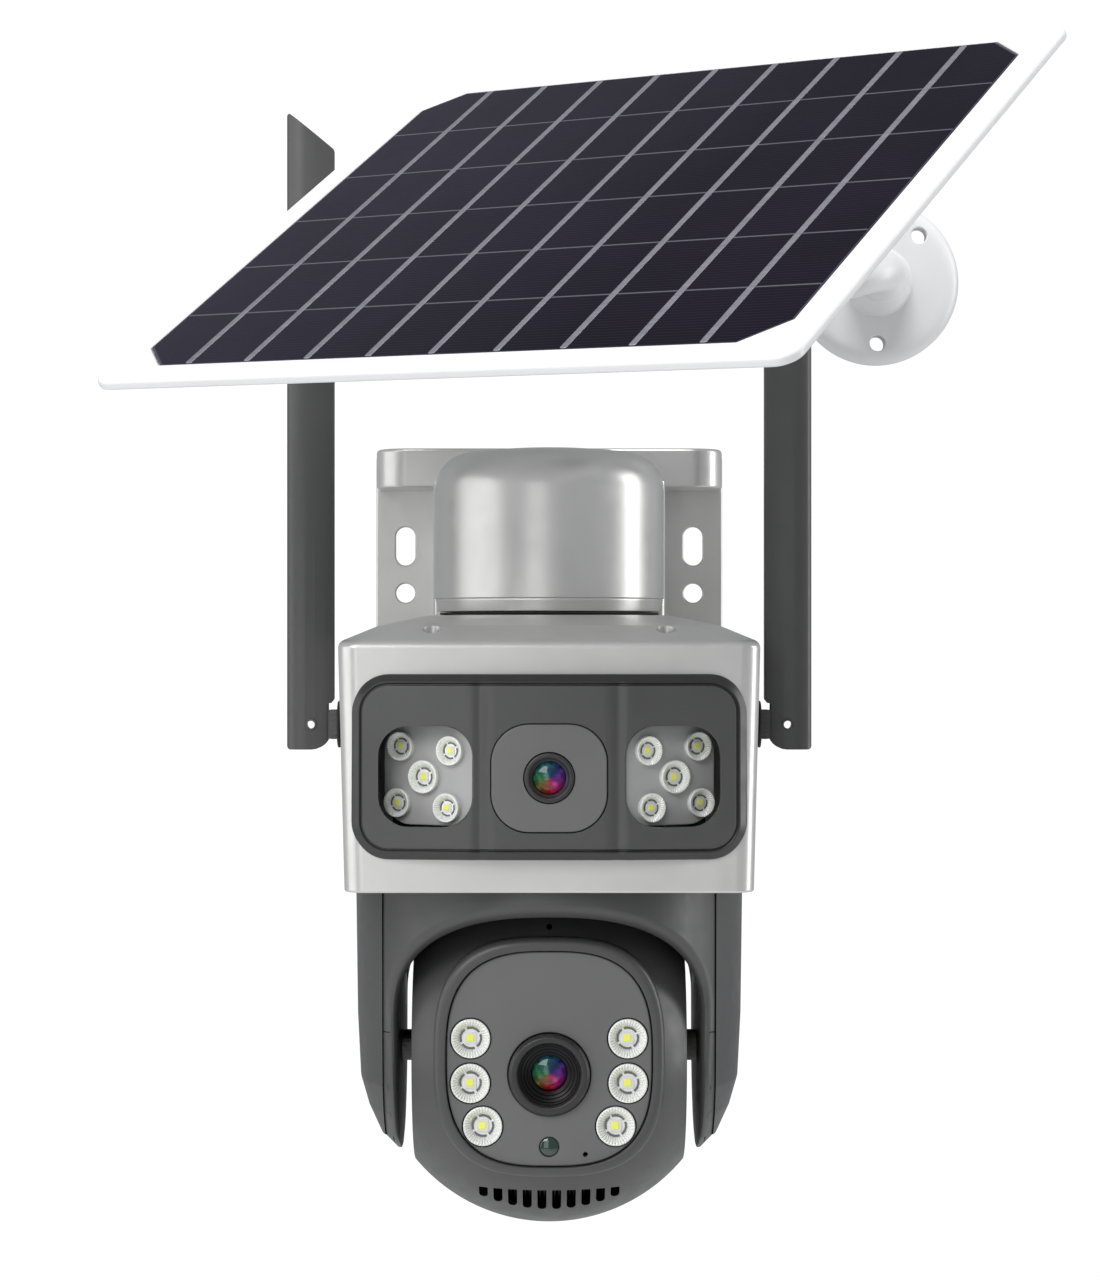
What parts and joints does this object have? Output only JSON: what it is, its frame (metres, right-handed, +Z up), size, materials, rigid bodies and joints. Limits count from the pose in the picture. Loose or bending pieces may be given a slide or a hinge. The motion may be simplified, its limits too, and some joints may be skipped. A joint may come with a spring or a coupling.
{
  "type": "solar-powered security camera",
  "caption": "Wall-mounted security camera with a fixed upper camera, a pan and tilt ball camera in a fork below it, paddle antennas and a solar panel on a jointed wall arm.",
  "frame": {"origin": "centre of the camera wall bracket's back face, on the wall", "axes": "+Z up, +Y into the wall, -Y the way the camera looks, +X to the right as seen from the front"},
  "size_m": [0.2775, 0.3107, 0.3682],
  "materials": {
    "silver_paint": "fine silver-grey paint, satin",
    "charcoal_plastic": "dark grey moulding, fine matt texture",
    "grey_plastic": "mid grey moulding, satin",
    "white_plastic": "white moulding, semi-gloss",
    "seal_rubber": "black rubber, matt",
    "solar_cells": "dark blue-black cells under a glossy sheet",
    "lens_glass": "coated lens glass, polished",
    "reflector_white": "white reflector moulding, gloss",
    "steel": "plain steel, fine brushed",
    "circuit_board": "green board, satin",
    "battery_wrap": "blue shrink wrap",
    "gear_nylon": "natural nylon, satin"
  },
  "bodies": {
    "body": {"wall_bracket": "silver_paint", "dome_cap": "silver_paint", "dome_gasket": "seal_rubber", "housing_shell": "silver_paint", "housing_floor": "charcoal_plastic", "front_bezel": "charcoal_plastic", "centre_cover": "grey_plastic", "fixed_lens_barrel": "charcoal_plastic", "fixed_lens_glass": "lens_glass", "led_bank_left": "reflector_white", "led_bank_right": "reflector_white", "main_board": "circuit_board", "battery_pack": "battery_wrap", "power_inlet": "seal_rubber", "pan_motor": "steel", "antenna_washer_left": "seal_rubber", "antenna_washer_right": "seal_rubber", "panel_wall_disc": "white_plastic", "panel_arm": "white_plastic"},
    "yoke": {"yoke": "charcoal_plastic", "side_cover_left": "charcoal_plastic", "side_cover_right": "charcoal_plastic", "pan_gear": "gear_nylon", "tilt_motor": "steel"},
    "pan_pinion": {"pan_pinion": "gear_nylon"},
    "ball": {"ball_front_shell": "charcoal_plastic", "ball_rear_shell": "charcoal_plastic", "face_panel": "grey_plastic", "ball_lens_barrel": "charcoal_plastic", "ball_lens_glass": "lens_glass", "light_sensor": "lens_glass", "ball_board": "circuit_board", "tilt_axle_left": "steel", "tilt_gear": "gear_nylon", "ball_reflector_1": "reflector_white", "ball_reflector_2": "reflector_white", "ball_reflector_3": "reflector_white", "ball_reflector_4": "reflector_white", "ball_reflector_5": "reflector_white", "ball_reflector_6": "reflector_white"},
    "tilt_pinion": {"tilt_pinion": "gear_nylon"},
    "antenna_swivel_left": {"antenna_knuckle_left": "charcoal_plastic"},
    "antenna_left": {"antenna_blade_left": "charcoal_plastic"},
    "antenna_swivel_right": {"antenna_knuckle_right": "charcoal_plastic"},
    "antenna_right": {"antenna_blade_right": "charcoal_plastic"},
    "panel_swivel": {"panel_knuckle": "white_plastic"},
    "panel": {"panel_frame": "white_plastic", "solar_cells": "solar_cells", "panel_clevis": "white_plastic", "junction_box": "seal_rubber"}
  },
  "joints": [
    {"name": "pan", "type": "hinge", "parent": "body", "child": "yoke", "pos_m": [0, -0.075, -0.1], "axis": [0, 0, 1], "range_deg": [-177, 177]},
    {"name": "pan_pinion_spin", "type": "hinge", "parent": "body", "child": "pan_pinion", "pos_m": [0.0288, -0.075, -0.086], "axis": [0, 0, 1], "continuous": true},
    {"name": "tilt", "type": "hinge", "parent": "yoke", "child": "ball", "pos_m": [0, -0.075, -0.1561], "axis": [1, 0, 0], "range_deg": [-8, 90]},
    {"name": "tilt_pinion_spin", "type": "hinge", "parent": "yoke", "child": "tilt_pinion", "pos_m": [0.0507, -0.075, -0.1345], "axis": [1, 0, 0], "continuous": true},
    {"name": "antenna_swivel_left", "type": "hinge", "parent": "body", "child": "antenna_swivel_left", "pos_m": [-0.068, -0.078, -0.053], "axis": [1, 0, 0], "range_deg": [-8, 2]},
    {"name": "antenna_fold_left", "type": "hinge", "parent": "antenna_swivel_left", "child": "antenna_left", "pos_m": [-0.0761, -0.078, -0.053], "axis": [0, -1, 0], "range_deg": [0, 90]},
    {"name": "antenna_swivel_right", "type": "hinge", "parent": "body", "child": "antenna_swivel_right", "pos_m": [0.068, -0.078, -0.053], "axis": [1, 0, 0], "range_deg": [-8, 2]},
    {"name": "antenna_fold_right", "type": "hinge", "parent": "antenna_swivel_right", "child": "antenna_right", "pos_m": [0.0761, -0.078, -0.053], "axis": [0, 1, 0], "range_deg": [0, 90]},
    {"name": "panel_turn", "type": "hinge", "parent": "body", "child": "panel_swivel", "pos_m": [0.02856, -0.15386, 0.07751], "axis": [0, 0, 1], "range_deg": [-20, 3]},
    {"name": "panel_tilt", "type": "hinge", "parent": "panel_swivel", "child": "panel", "pos_m": [0.02856, -0.15386, 0.09251], "axis": [-0.8385, 0.5445, 0.0192], "range_deg": [-30, 33.6]}
  ],
  "couplings": [
    {"joint": "pan_pinion_spin", "follows": "pan", "ratio": -3},
    {"joint": "tilt_pinion_spin", "follows": "tilt", "ratio": -2}
  ]
}
